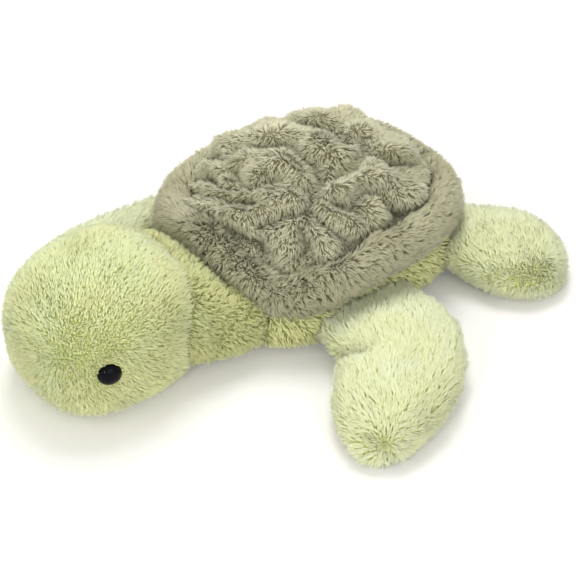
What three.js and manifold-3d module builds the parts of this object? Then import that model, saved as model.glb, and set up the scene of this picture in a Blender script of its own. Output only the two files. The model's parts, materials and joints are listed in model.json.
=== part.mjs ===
// A stuffed toy turtle lying on its belly. Fur fabric covers, each round its own filling, make the head,
// neck, body and four flippers. A quilted shell with a padded rim is sewn on the back. Two black eyes are
// locked through the head's fabric by washers. The left front flipper is spread and the right flippers are
// swept forward, as the toy was laid down.
// Millimetres, +Z up. The turtle faces -Y and its left side is +X. Forms are laid out from the middle of
// the body, then the whole toy moves so that the origin is the middle of its footprint on the floor.
import * as THREE from "three";
import { mergeVertices } from "three/addons/utils/BufferGeometryUtils.js";
import Module from "manifold-3d";

const wasm = await Module();
wasm.setup();

// Fits and fabric
const seam = 0.3; // clearance between pieces that are sewn or pressed together
const coverWall = 4; // fur fabric: its backing and the packed foot of the pile
const floorCut = 0.5; // how deep the floor flattens each soft underside

// Body, a flat pillow under the shell
const body = {
  halfWidth: 77,
  front: 91, // from the middle to the chest
  back: 99, // from the middle to the tail end
  seamHeight: 18, // height of the side seam above the floor
  above: 30, // from the side seam to the top
};
const bodySquareness = 3; // of its outline in plan
const bodyRoundness = 2.2; // of its upper half
const bodyFlatness = 4; // of its lower half

// Shell, a quilted dome
const shell = {
  halfWidth: 71,
  front: 72,
  back: 92,
  aside: 3, // how far it sits to the turtle's right
  foot: 14, // how far its lower edge lies below the middle of the rim
  crown: 87, // height of its top above the floor
  wall: 5,
  puff: 6, // how far each quilted scute swells over its stitching
  fold: 8, // half the width of a stitched fold
};
const shellSquareness = 2.6;
const shellFullness = 2.8;

// Padded rim round the shell
const rim = {
  ahead: 3, // how far its middle lies outside the shell's edge at the front
  behind: 1, // and at the back
  radial: 13,
  vertical: 12.5,
  lowest: 32, // height of its middle where it droops at the front corners
  rise: 22, // how much higher it lies over the neck
};
// How far it rises, from the left side round the back, the right side and the front
const rimShares = [0.73, 0.64, 0.45, 0.36, 0.27, 0.27, 0.25, 0.3, 0.45, 0.45, 0.27, 0.64, 1, 0.55, 0.1, 0.45];

// Neck: it turns on the body about an upright axis, and the head nods on its other end
const neck = {
  inside: 7, // how far its upright axis lies behind the chest
  baseRadius: 56,
  baseHalfHeight: 22.5,
  length: 30, // between its two axes
  tipRadius: 31,
  tipHalfWidth: 48,
  lift: 1, // how far its tip end hangs above the floor
  tubeInset: 1.5, // how far the tube between the two ends lies inside them
};
const neckSquareness = 2.7;
const mouthShare = 0.75; // how far out from each axis the cover is open, as a share of the end's radius
const neckTurn = 20; // degrees the neck turns to the left, away from the flipper on its right

// Head
const head = {
  overlap: 8, // how far its back reaches over the neck's tip axis
  length: 104,
  halfWidth: 52,
  axisHeight: 41,
  above: 44,
};
const headSquareness = 2.6;
const headFlatness = 3.8;
const chinSquareness = 3.8; // how squarely its underside ends
const snoutTaperShare = 0.1; // how much narrower the snout is than the cheeks
const snoutSlopeShare = 0.27; // how much lower the brow is over the snout

// Eyes and the washers that lock them
const eye = {
  radius: 7.2,
  height: 4.8,
  sunk: 1.2, // how far its foot lies in the fabric
  shankRadius: 2,
  shankLength: 9,
  washerRadius: 7,
  washerThickness: 1.6,
};
const eyeShare = 0.73; // how far along the head's widest line, from its back
const besideShare = 0.01; // a small step along or round the head

// Flippers. A row has the leading edge, the trailing edge, half the thickness and the lift off the floor.
// Places count outward from the body's side as shares of the reach, and backward from the root as shares
// of the sweep. Thickness and lift are shares of the thickness.
const flipperSquareness = 2.2;
const nearFront = {
  root: 77, // from the chest back to the middle of the root
  reach: 98,
  sweep: 75,
  thickness: 31,
};
const nearFrontShares = [
  [-0.16, -0.43, -0.16, 0.45, 0.24, 0.36],
  [-0.01, -0.47, 0.07, 0.47, 0.27, 0.3],
  [0.09, -0.49, 0.29, 0.49, 0.43, 0.06],
  [0.2, -0.51, 0.5, 0.43, 0.5, 0],
  [0.33, -0.67, 0.7, 0.25, 0.5, 0],
  [0.45, -0.84, 0.86, 0, 0.5, 0],
  [0.57, -0.95, 0.96, -0.29, 0.47, 0],
  [0.69, -1.01, 1, -0.59, 0.4, 0],
  [0.81, -1.03, 1, -0.8, 0.3, 0],
];
const nearFrontTipShares = [0.94, -0.96, 0.23];

const farFront = {
  root: 71,
  reach: 22,
  sweep: 148,
  thickness: 30,
};
const farFrontShares = [
  [-0.68, -0.15, -0.68, 0.22, 0.25, 0.42],
  [-0.5, -0.23, 0.41, 0.14, 0.27, 0.38],
  [-0.59, -0.34, 0.59, -0.13, 0.42, 0.1],
  [-0.73, -0.43, 0.77, -0.3, 0.48, 0.02],
  [-0.91, -0.54, 0.95, -0.49, 0.5, 0],
  [-1, -0.68, 1, -0.66, 0.5, 0],
  [-1, -0.81, 0.86, -0.82, 0.46, 0],
  [-0.77, -0.93, 0.5, -0.93, 0.36, 0],
];
const farFrontTipShares = [-0.18, -1, 0.24];

const rear = {
  root: 151,
  reach: 52,
  sweep: 75,
  thickness: 28,
};
const rearShares = [
  [-0.4, -0.16, -0.98, 0.32, 0.27, 0.46],
  [-0.04, -0.01, -0.63, 0.55, 0.3, 0.36],
  [0.25, 0.05, -0.4, 0.76, 0.48, 0.03],
  [0.52, 0.09, -0.15, 0.91, 0.5, 0],
  [0.75, 0.19, 0.12, 0.96, 0.5, 0],
  [0.92, 0.33, 0.38, 0.95, 0.45, 0],
  [1, 0.52, 0.67, 0.87, 0.36, 0],
];
const rearTipShares = [0.92, 0.72, 0.24];

// The right rear flipper is the left one's mirror image, swept forward about its hinge line and moved
const farRearShift = { forward: 22, inward: 10 };
const farRearTurn = -58; // degrees

// Hinge lines, along which each flipper is sewn on and lifts off the floor: the distance from the body's
// side and from the chest to their middle, and the height
const nearFrontHinge = { inset: 0.5, back: 77, height: 26 };
const farFrontHinge = { inset: 7, back: 46, height: 26 };
const nearRearHinge = { inset: 16.5, back: 170.5, height: 25 };
const farRearHinge = { inset: 7, back: 149, height: 25 };
// Degrees each turns from the body's length, and lifts the flipper
const nearFrontMotion = { heading: 0, lift: 30 };
const farFrontMotion = { heading: 24, lift: 20 };
const nearRearMotion = { heading: -36, lift: 25 };
const farRearMotion = { heading: -15, lift: 20 };

// Quilting: the middle of each scute in plan, as shares of the shell's half width, front and back
const scuteShares = [
  [0, -0.58],
  [-0.06, -0.11],
  [0.04, 0.28],
  [-0.03, 0.65],
  [0.46, -0.47],
  [0.51, -0.03],
  [0.54, 0.35],
  [0.39, 0.67],
  [-0.48, -0.42],
  [-0.54, 0.04],
  [-0.51, 0.41],
  [-0.37, 0.72],
  [0.79, -0.25],
  [0.85, 0.15],
  [0.76, 0.48],
  [-0.79, -0.19],
  [-0.85, 0.22],
  [-0.73, 0.52],
  [0.25, -0.83],
  [-0.28, -0.83],
  [0, 0.91],
];

// Facets
const bodySides = 20;
const bodyStations = 11;
const liningSides = 12;
const liningStations = 7;
const headSides = 18;
const headStations = 12;
const flipperSides = 12;
const flipperLiningSides = 8;
const shellSides = 42;
const shellStations = 12;
const rimSides = 8;
const rimLiningSides = 5;
const rimStations = 36;
const rimLiningStations = 24;
const ballSides = 22;
const ballStations = 6;
const eyeSides = 16;
const eyeStations = 5;
const sweepSteps = 2; // positions at which a moving piece is cleared
const quarterTurn = Math.PI / 2;
const halfTurn = Math.PI;
const fullTurn = 2 * Math.PI;
const degree = Math.PI / 180;

const sideways = new THREE.Vector3(1, 0, 0);
const backward = new THREE.Vector3(0, 1, 0);
const upward = new THREE.Vector3(0, 0, 1);

// Materials
const fabric = (color) => new THREE.MeshStandardMaterial({ color, roughness: 0.95, metalness: 0 });
const paleGreen = fabric(0xd5d9a6);
const green = fabric(0xc3cd9a);
const shadeGreen = fabric(0xaab07c);
const shellBrown = fabric(0x87856b);
const rimBrown = fabric(0x918f73);
const filling = fabric(0xf2f0e6);
const blackPlastic = new THREE.MeshStandardMaterial({ color: 0x0b0d12, roughness: 0.12, metalness: 0 });
const whitePlastic = new THREE.MeshStandardMaterial({ color: 0xe6e6e0, roughness: 0.5, metalness: 0 });

// Booleans
function solid(geometry) {
  const bare = geometry.clone();
  bare.deleteAttribute("normal");
  bare.deleteAttribute("uv");
  const merged = mergeVertices(bare, 1e-4);
  return new wasm.Manifold(
    new wasm.Mesh({
      numProp: 3,
      vertProperties: merged.attributes.position.array,
      triVerts: new Uint32Array(merged.index.array),
    }),
  );
}

function geometryOf(manifold) {
  const mesh = manifold.getMesh();
  const geometry = new THREE.BufferGeometry();
  geometry.setAttribute("position", new THREE.BufferAttribute(mesh.vertProperties, 3));
  geometry.setIndex(new THREE.BufferAttribute(mesh.triVerts, 1));
  geometry.computeVertexNormals();
  return geometry;
}

// The largest piece of a solid that cutting may have left in several.
function largest(manifold) {
  return manifold.decompose().reduce((best, piece) => (piece.volume() > best.volume() ? piece : best));
}

function turned(manifold, axis, through, degrees) {
  const matrix = new THREE.Matrix4().makeTranslation(through.x, through.y, through.z);
  matrix.multiply(new THREE.Matrix4().makeRotationAxis(axis, degrees * degree));
  matrix.multiply(new THREE.Matrix4().makeTranslation(-through.x, -through.y, -through.z));
  return manifold.transform(matrix.elements);
}

// Degrees from the first step of a motion to its end
function stepsTo(limit) {
  return Array.from({ length: sweepSteps }, (_, i) => (limit * (i + 1)) / sweepSteps);
}

// A closed skin over rings of points, closed to one point at each end. The rings run the same way round
// as across to up, and follow each other along up x across.
function skin(rings, first, last) {
  const count = rings[0].length;
  const points = [first, ...rings.flat(), last];
  const faces = [];
  const at = (ring, k) => 1 + ring * count + (k % count);
  for (let k = 0; k < count; k++) {
    faces.push(0, at(0, k), at(0, k + 1));
    faces.push(points.length - 1, at(rings.length - 1, k + 1), at(rings.length - 1, k));
  }
  for (let ring = 0; ring + 1 < rings.length; ring++) {
    for (let k = 0; k < count; k++) {
      faces.push(at(ring, k), at(ring + 1, k), at(ring, k + 1));
      faces.push(at(ring, k + 1), at(ring + 1, k), at(ring + 1, k + 1));
    }
  }
  const geometry = new THREE.BufferGeometry().setFromPoints(points);
  geometry.setIndex(faces);
  return geometry;
}

// A point of a rounded outline of half size 1. Squareness 2 is a circle.
function rounded(angle, squareness) {
  const power = 2 / squareness;
  const along = (value) => Math.sign(value) * Math.abs(value) ** power;
  return [along(Math.cos(angle)), along(Math.sin(angle))];
}

// How full a stuffed form is at a share of its length, 0 at both ends and 1 in the middle.
function swell(share, squareness) {
  return (1 - Math.abs(2 * share - 1) ** squareness) ** (1 / squareness);
}

// Shares of a length between its two ends, closer together at the round ends.
function spread(count) {
  return Array.from({ length: count - 1 }, (_, i) => (1 - Math.cos((halfTurn * (i + 1)) / count)) / 2);
}

// A smooth way round a closed row of values.
function roundRow(values, share) {
  const place = (((share % 1) + 1) % 1) * values.length;
  const i = Math.floor(place);
  const blend = (1 - Math.cos(halfTurn * (place - i))) / 2;
  return values[i] * (1 - blend) + values[(i + 1) % values.length] * blend;
}

// One ring of a form, across a unit direction
function ring({ centre, across, halfWidth, above, below, squareness, flatness = squareness }, count) {
  return Array.from({ length: count }, (_, k) => {
    const [wide, high] = rounded((fullTurn * k) / count, k > count / 2 ? flatness : squareness);
    return centre
      .clone()
      .addScaledVector(across, halfWidth * wide)
      .addScaledVector(upward, (high > 0 ? above : below) * high);
  });
}

// Body
function bodyForm(grow, sides = bodySides, stations = bodyStations) {
  const start = -body.front - grow;
  const length = body.front + body.back + 2 * grow;
  const at = (y) => new THREE.Vector3(0, y, body.seamHeight);
  const rings = spread(stations).map((share) => {
    const full = swell(share, bodySquareness);
    const section = {
      centre: at(start + length * share),
      across: sideways,
      halfWidth: (body.halfWidth + grow) * full,
      above: (body.above + grow) * full,
      below: (body.seamHeight + floorCut + grow) * full,
      squareness: bodyRoundness,
      flatness: bodyFlatness,
    };
    return ring(section, sides);
  });
  return solid(skin(rings, at(start), at(start + length)));
}

// Neck: each end is a body of revolution about its own axis, so that it turns in its socket
const neckBaseAt = new THREE.Vector3(0, neck.inside - body.front, neck.baseHalfHeight - floorCut);
const neckTipAt = new THREE.Vector3(0, neckBaseAt.y - neck.length, neck.tipRadius + neck.lift);
const facetShare = 1 / Math.cos(halfTurn / ballSides) - 1; // how far facets' corners stand out of a circle

function ballProfile(radius, halfLength) {
  return Array.from({ length: ballStations + 1 }, (_, i) => {
    const [out, along] = rounded(-quarterTurn + (halfTurn * i) / ballStations, neckSquareness);
    return new THREE.Vector2(i % ballStations ? radius * out : 0, halfLength * along);
  });
}

function neckBase(grow) {
  const profile = ballProfile(neck.baseRadius + grow, neck.baseHalfHeight + grow);
  const ball = new THREE.LatheGeometry(profile, ballSides).rotateX(quarterTurn);
  return solid(ball.translate(neckBaseAt.x, neckBaseAt.y, neckBaseAt.z));
}

function neckTip(grow) {
  const profile = ballProfile(neck.tipRadius + grow, neck.tipHalfWidth + grow);
  const ball = new THREE.LatheGeometry(profile, ballSides).rotateZ(quarterTurn);
  return solid(ball.translate(neckTipAt.x, neckTipAt.y, neckTipAt.z));
}

function neckTube(grow) {
  const between = (from, to, share) => from + (to - from) * share;
  const rings = [0, 1 / 2, 1].map((share) => {
    const halfHeight = between(neck.baseHalfHeight, neck.tipRadius, share) - neck.tubeInset + grow;
    const section = {
      centre: neckBaseAt.clone().lerp(neckTipAt, share),
      across: sideways.clone().negate(),
      halfWidth: between(neck.baseRadius, neck.tipHalfWidth, share) - neck.tubeInset + grow,
      above: halfHeight,
      below: halfHeight,
      squareness: neckSquareness,
    };
    return ring(section, headSides);
  });
  return solid(skin(rings, neckBaseAt, neckTipAt));
}

function neckForm(grow) {
  return neckBase(grow).add(neckTip(grow)).add(neckTube(grow));
}

// Head: it tapers to its snout and its brow slopes
function headSection(share, grow) {
  const full = swell(share, headSquareness);
  const back = neckTipAt.y + head.overlap + grow;
  return {
    centre: new THREE.Vector3(0, back - (head.length + 2 * grow) * share, head.axisHeight),
    across: sideways.clone().negate(),
    halfWidth: (head.halfWidth + grow) * full * (1 - snoutTaperShare * share ** 2),
    above: (head.above + grow) * full * (1 - snoutSlopeShare * share ** 2),
    below: (head.axisHeight + floorCut + grow) * swell(share, chinSquareness),
    squareness: headSquareness,
    flatness: headFlatness,
  };
}

function headForm(grow, sides = headSides, stations = headStations) {
  const rings = spread(stations).map((share) => ring(headSection(share, grow), sides));
  return solid(skin(rings, headSection(0, grow).centre, headSection(1, grow).centre));
}

// The place of the left eye on the head's surface, and the way it looks
function onHead(share, turn) {
  const { centre, halfWidth, above, squareness } = headSection(share, 0);
  const [wide, high] = rounded(turn, squareness);
  return centre.clone().add(new THREE.Vector3(halfWidth * wide, 0, above * high));
}

function eyeSeat() {
  const along = onHead(eyeShare + besideShare, 0).sub(onHead(eyeShare - besideShare, 0));
  const round = onHead(eyeShare, besideShare).sub(onHead(eyeShare, -besideShare));
  return { place: onHead(eyeShare, 0), looks: round.cross(along).normalize() };
}

// A turned piece on the left eye's axis, with its profile from the shank's end out to the front
function onEyeAxis(profile) {
  const { place, looks } = eyeSeat();
  const geometry = new THREE.LatheGeometry(profile, eyeSides);
  geometry.applyQuaternion(new THREE.Quaternion().setFromUnitVectors(backward, looks));
  geometry.translate(place.x, place.y, place.z);
  return solid(geometry);
}

function eyeForm(grow) {
  const foot = -eye.sunk - grow;
  const dome = Array.from({ length: eyeStations + 1 }, (_, i) => {
    const angle = (quarterTurn * i) / eyeStations;
    const out = i < eyeStations ? (eye.radius + grow) * Math.cos(angle) : 0;
    return new THREE.Vector2(out, -eye.sunk + (eye.height + grow) * Math.sin(angle));
  });
  return onEyeAxis([
    new THREE.Vector2(0, foot - eye.shankLength),
    new THREE.Vector2(eye.shankRadius + grow, foot - eye.shankLength),
    new THREE.Vector2(eye.shankRadius + grow, foot),
    new THREE.Vector2(eye.radius + grow, foot),
    ...dome,
  ]);
}

// The washer lies flat inside the cover, clear of the cover's curve
function washerForm(grow, bore) {
  const sag = head.halfWidth - Math.sqrt(head.halfWidth ** 2 - eye.washerRadius ** 2);
  const outer = -coverWall - sag - seam + grow;
  const inner = outer - eye.washerThickness - 2 * grow;
  return onEyeAxis([
    new THREE.Vector2(bore, inner),
    new THREE.Vector2(eye.washerRadius + grow, inner),
    new THREE.Vector2(eye.washerRadius + grow, outer),
    new THREE.Vector2(bore, outer),
    new THREE.Vector2(bore, inner),
  ]);
}

// Flippers, made on the left side
function flipperPlace(part, [outShare, backShare], height) {
  const y = part.root - body.front + part.sweep * backShare;
  return new THREE.Vector3(body.halfWidth + part.reach * outShare, y, height);
}

function flipperForm(part, shares, tipShares, grow, sides) {
  const shrink = (value) => Math.max(value + grow, seam);
  const rings = shares.map(([leadOut, leadBack, trailOut, trailBack, halfShare, liftShare]) => {
    const height = part.thickness * (halfShare + liftShare) - floorCut;
    const lead = flipperPlace(part, [leadOut, leadBack], height);
    const trail = flipperPlace(part, [trailOut, trailBack], height);
    const section = {
      centre: lead.clone().lerp(trail, 1 / 2),
      across: lead.clone().sub(trail).normalize(),
      halfWidth: shrink(lead.distanceTo(trail) / 2),
      above: shrink(part.thickness * halfShare),
      below: shrink(part.thickness * halfShare),
      squareness: flipperSquareness,
    };
    return { points: ring(section, sides), centre: section.centre };
  });
  const tip = flipperPlace(part, tipShares, part.thickness * tipShares[2] - floorCut);
  const last = rings[rings.length - 1].centre;
  const end = last.clone().lerp(tip, Math.max(1 + grow / last.distanceTo(tip), 0));
  const points = rings.map((each) => each.points);
  return solid(skin(points, rings[0].centre, end));
}

// Shell: its foot follows the rim, and its top swells between the folds of the quilting
function rimHeight(share) {
  return rim.lowest + rim.rise * roundRow(rimShares, share);
}

function foldDepth(x, y) {
  const reaches = scuteShares
    .map(([outShare, backShare]) => {
      const depth = backShare < 0 ? shell.front : shell.back;
      return Math.hypot(x - shell.halfWidth * outShare, y - depth * backShare);
    })
    .sort((a, b) => a - b);
  return Math.exp(-(((reaches[1] - reaches[0]) / (2 * shell.fold)) ** 2));
}

function shellForm(grow, puff, sides = shellSides, stations = shellStations) {
  const point = (share, k) => {
    const [wide, long] = rounded((fullTurn * k) / sides, shellSquareness);
    const depth = long < 0 ? shell.front : shell.back;
    const foot = rimHeight(k / sides) - shell.foot - Math.abs(grow);
    const [away, level] = rounded(quarterTurn * share, shellFullness);
    const fold = foldDepth(shell.halfWidth * away * wide, depth * away * long);
    const swollen = grow - puff * fold;
    return new THREE.Vector3(
      (shell.halfWidth + swollen) * away * wide - shell.aside,
      (depth + swollen) * away * long,
      foot + (shell.crown + swollen - foot) * level,
    );
  };
  const rings = Array.from({ length: stations }, (_, i) =>
    Array.from({ length: sides }, (_, k) => point(1 - (i + 1) / stations, k)),
  );
  const crown = new THREE.Vector3(-shell.aside, 0, shell.crown + grow);
  const foot = new THREE.Vector3(-shell.aside, 0, rimHeight(0) - shell.foot - Math.abs(grow));
  return solid(skin(rings, crown, foot));
}

// Rim, a closed roll round the shell's edge
function rimForm(grow, sides = rimSides, stations = rimStations) {
  const points = [];
  for (let i = 0; i < stations; i++) {
    const [wide, long] = rounded((fullTurn * i) / stations, shellSquareness);
    const depth = long < 0 ? shell.front + rim.ahead : shell.back + rim.behind;
    const height = rimHeight(i / stations);
    const centre = new THREE.Vector3(shell.halfWidth * wide - shell.aside, depth * long, height);
    const out = new THREE.Vector3(wide * depth, long * shell.halfWidth, 0).normalize();
    for (let k = 0; k < sides; k++) {
      const angle = (fullTurn * k) / sides;
      const point = centre.clone().addScaledVector(out, (rim.radial + grow) * Math.cos(angle));
      points.push(point.addScaledVector(upward, (rim.vertical + grow) * Math.sin(angle)));
    }
  }
  const faces = [];
  const at = (i, k) => (i % stations) * sides + (k % sides);
  for (let i = 0; i < stations; i++) {
    for (let k = 0; k < sides; k++) {
      faces.push(at(i, k), at(i + 1, k), at(i, k + 1));
      faces.push(at(i, k + 1), at(i + 1, k), at(i + 1, k + 1));
    }
  }
  const geometry = new THREE.BufferGeometry().setFromPoints(points);
  geometry.setIndex(faces);
  return solid(geometry);
}

// Assembly
const toy = new THREE.Group();

function add(name, manifold, material) {
  const mesh = new THREE.Mesh(geometryOf(largest(manifold)), material);
  mesh.name = name;
  toy.add(mesh);
}

const floorSide = 4 * (body.front + body.back + head.length);
const floorBlock = new THREE.BoxGeometry(floorSide, floorSide, floorSide).translate(0, 0, -floorSide / 2);
const floorSolid = solid(floorBlock);
const onFloor = (manifold) => manifold.subtract(floorSolid);
const mirrored = (manifold) => manifold.mirror([1, 0, 0]);
const lining = -coverWall;
const fill = lining - seam;

function addHead() {
  const socket = neckTip(seam + neck.tipRadius * facetShare);
  const leftEye = eyeForm(seam);
  const leftWasher = washerForm(seam, 0);
  const pads = leftEye.add(leftWasher);
  const eyes = pads.add(mirrored(pads));
  const inside = headForm(lining, liningSides, liningStations);
  add("head_cover", onFloor(headForm(0)).subtract(inside).subtract(socket).subtract(eyes), green);
  const stuffing = headForm(fill, liningSides, liningStations);
  add("head_stuffing", stuffing.subtract(socket).subtract(eyes), filling);
  const bore = eye.shankRadius + seam;
  add("eye_left", eyeForm(0), blackPlastic);
  add("eye_right", mirrored(eyeForm(0)), blackPlastic);
  add("eye_washer_left", washerForm(0, bore), whitePlastic);
  add("eye_washer_right", mirrored(washerForm(0, bore)), whitePlastic);
}

function addNeck() {
  const block = new THREE.BoxGeometry(floorSide, floorSide, floorSide);
  const bodyMouth = neckBaseAt.y + neck.baseRadius * mouthShare + floorSide / 2;
  const headMouth = neckTipAt.y - neck.tipRadius * mouthShare - floorSide / 2;
  const closed = onFloor(neckForm(0)).subtract(neckForm(lining));
  const cover = closed
    .subtract(solid(block.clone().translate(0, bodyMouth, 0)))
    .subtract(solid(block.clone().translate(0, headMouth, 0)));
  add("neck_cover", cover, shadeGreen);
  add("neck_stuffing", neckForm(fill), filling);
}

function addBody() {
  const socket = neckBase(seam + neck.baseRadius * facetShare);
  const inside = bodyForm(lining, liningSides, liningStations);
  add("body_cover", onFloor(bodyForm(0)).subtract(inside).subtract(socket), shadeGreen);
  add("body_stuffing", bodyForm(fill, liningSides, liningStations).subtract(socket), filling);
}

function addShell() {
  const clear = seam + neck.baseRadius * facetShare;
  const neckSweep = stepsTo(neckTurn)
    .map((degrees) => turned(neckForm(clear), upward, neckBaseAt, degrees))
    .reduce((all, each) => all.add(each), neckForm(clear));
  const under = bodyForm(seam).add(neckSweep);
  const inside = shellForm(-shell.wall - shell.puff, 0, liningSides * 2, liningStations);
  const cover = shellForm(0, shell.puff);
  add("shell_cover", cover.subtract(inside).subtract(under), shellBrown);
  const wadding = shellForm(-shell.wall - shell.puff - seam, 0, liningSides * 2, liningStations);
  add("shell_wadding", wadding.subtract(under), filling);
  const beside = under.add(shellForm(seam, shell.puff));
  const rimInside = rimForm(lining, rimLiningSides, rimLiningStations);
  add("rim_cover", rimForm(0).subtract(rimInside).subtract(beside), rimBrown);
  add("rim_wadding", rimForm(fill, rimLiningSides, rimLiningStations).subtract(beside), filling);
}

// A flipper and its filling, cleared of the body at rest and as it lifts on its hinge line
function addFlipper(name, form, hinge, motion, place) {
  const heading = motion.heading * degree;
  const axis = new THREE.Vector3(Math.sin(heading), Math.cos(heading), 0);
  const through = new THREE.Vector3(body.halfWidth - hinge.inset, hinge.back - body.front, hinge.height);
  const still = bodyForm(seam);
  const clear = stepsTo(motion.lift)
    .map((degrees) => turned(still, axis, through, degrees))
    .reduce((all, each) => all.add(each), still);
  const cover = onFloor(form(0, flipperSides)).subtract(form(lining, flipperLiningSides)).subtract(clear);
  const stuffing = form(fill, flipperLiningSides).subtract(clear);
  add(`${name}_cover`, place(cover), paleGreen);
  add(`${name}_stuffing`, place(stuffing), filling);
}

function addFlippers() {
  const unmoved = (manifold) => manifold;
  const flipper = (part, shares, tipShares) => (grow, sides) => {
    return flipperForm(part, shares, tipShares, grow, sides);
  };
  const nearRearForm = flipper(rear, rearShares, rearTipShares);
  const pivot = new THREE.Vector3(body.halfWidth - nearRearHinge.inset, nearRearHinge.back - body.front, 0);
  const farRearForm = (grow, sides) => {
    const swept = turned(nearRearForm(grow, sides), upward, pivot, farRearTurn);
    return swept.translate([-farRearShift.inward, -farRearShift.forward, 0]);
  };
  const nearFrontForm = flipper(nearFront, nearFrontShares, nearFrontTipShares);
  const farFrontForm = flipper(farFront, farFrontShares, farFrontTipShares);
  addFlipper("front_flipper_left", nearFrontForm, nearFrontHinge, nearFrontMotion, unmoved);
  addFlipper("front_flipper_right", farFrontForm, farFrontHinge, farFrontMotion, mirrored);
  addFlipper("rear_flipper_left", nearRearForm, nearRearHinge, nearRearMotion, unmoved);
  addFlipper("rear_flipper_right", farRearForm, farRearHinge, farRearMotion, mirrored);
}

addHead();
addNeck();
addBody();
addShell();
addFlippers();

// The origin is the middle of the footprint
const extent = new THREE.Box3().setFromObject(toy);
const middle = extent.getCenter(new THREE.Vector3());
toy.children.forEach((mesh) => mesh.geometry.translate(-middle.x, -middle.y, 0));

export default toy;
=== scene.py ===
import json
import math
from collections import namedtuple

import bmesh
import bpy
import numpy as np
from mathutils import Matrix, Vector
from mathutils.bvhtree import BVHTree
from mathutils.kdtree import KDTree

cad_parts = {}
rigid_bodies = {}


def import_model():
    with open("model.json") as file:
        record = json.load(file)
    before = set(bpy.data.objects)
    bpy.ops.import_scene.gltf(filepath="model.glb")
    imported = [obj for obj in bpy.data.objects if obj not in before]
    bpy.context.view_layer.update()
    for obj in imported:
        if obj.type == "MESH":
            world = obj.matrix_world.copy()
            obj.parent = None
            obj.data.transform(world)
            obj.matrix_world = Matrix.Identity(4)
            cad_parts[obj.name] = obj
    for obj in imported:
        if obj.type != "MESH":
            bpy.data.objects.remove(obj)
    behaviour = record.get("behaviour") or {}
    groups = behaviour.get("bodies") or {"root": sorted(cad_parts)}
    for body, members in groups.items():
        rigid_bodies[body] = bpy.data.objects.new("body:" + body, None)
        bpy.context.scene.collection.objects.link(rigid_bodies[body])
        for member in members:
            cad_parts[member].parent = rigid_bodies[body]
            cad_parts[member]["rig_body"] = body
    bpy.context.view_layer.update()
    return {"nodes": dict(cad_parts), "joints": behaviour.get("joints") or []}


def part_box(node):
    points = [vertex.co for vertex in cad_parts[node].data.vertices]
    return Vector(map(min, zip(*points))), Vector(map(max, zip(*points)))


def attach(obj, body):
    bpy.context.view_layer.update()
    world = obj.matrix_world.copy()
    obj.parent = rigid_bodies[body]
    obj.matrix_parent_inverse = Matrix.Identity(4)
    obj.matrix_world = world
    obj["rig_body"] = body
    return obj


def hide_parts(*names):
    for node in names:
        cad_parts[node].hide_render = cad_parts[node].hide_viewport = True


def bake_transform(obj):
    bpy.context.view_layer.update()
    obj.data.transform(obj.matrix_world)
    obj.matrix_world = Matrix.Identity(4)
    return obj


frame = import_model()
nodes = frame["nodes"]

MM = 0.001

# The middle of the toy's body on the floor, from which its parts were laid out
BODY_BACK = 99 * MM
body_low, body_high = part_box("body_cover")
head_low, head_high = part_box("head_cover")
MIDDLE = Vector(((body_low.x + body_high.x) / 2, body_high.y - BODY_BACK, 0))

# The photograph's width in pixels, and its camera: its angles in degrees, its distance and focus in
# metres, and in millimetres how far it aims left of its focus and below it, its lens and its sensor
PICTURE = 576
AZIMUTH = 50
ELEVATION = 38
DISTANCE = 1.0
FOCUS_HEIGHT = 40 * MM
AIM_LEFT = 9.67
AIM_DOWN = 48.3
LENS = 97
SENSOR = 36

# The shell's plan, and the middle of each scute as shares of its half width, front and back
SHELL_MIDDLE = MIDDLE + Vector((-3 * MM, 0, 0))
SHELL_HALF_WIDTH = 71 * MM
SHELL_FRONT = 72 * MM
SHELL_BACK = 92 * MM
SCUTES = [
    (0, -0.58), (-0.06, -0.11), (0.04, 0.28), (-0.03, 0.65),
    (0.46, -0.47), (0.51, -0.03), (0.54, 0.35), (0.39, 0.67),
    (-0.48, -0.42), (-0.54, 0.04), (-0.51, 0.41), (-0.37, 0.72),
    (0.79, -0.25), (0.85, 0.15), (0.76, 0.48),
    (-0.79, -0.19), (-0.85, 0.22), (-0.73, 0.52),
    (0.25, -0.83), (-0.28, -0.83), (0, 0.91),
]

# Stitched folds of the quilting and the pinches in them, where they lie in the photograph
FOLDS = [
    [(236, 170), (240, 180), (252, 188), (262, 182), (278, 176)],
    [(240, 148), (262, 147), (288, 143), (300, 152), (316, 164), (320, 180), (314, 188)],
    [(320, 180), (332, 175), (350, 168), (360, 158), (366, 148), (360, 140)],
    [(362, 186), (380, 190), (388, 204), (402, 214)],
    [(310, 188), (312, 204), (320, 220), (334, 228), (348, 238)],
    [(262, 224), (276, 219), (290, 210), (302, 212), (312, 204)],
    [(302, 226), (307, 246), (304, 256)],
    [(230, 228), (246, 238), (262, 240), (266, 252)],
    [(196, 178), (210, 176), (220, 184), (238, 188)],
    [(194, 192), (216, 194), (236, 200), (254, 200)],
    [(170, 208), (182, 212), (198, 214), (210, 220)],
    [(366, 148), (390, 160), (416, 162), (422, 158)],
    [(358, 116), (380, 126), (402, 140), (418, 152)],
    [(278, 112), (290, 122), (306, 122), (330, 128), (346, 140)],
    [(338, 200), (352, 206), (362, 186)],
    [(198, 150), (214, 158), (228, 156), (240, 148)],
]
PINCHES = [
    (351, 239), (306, 246), (317, 184), (368, 148), (402, 213), (240, 180), (290, 208), (364, 186),
]

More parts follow.
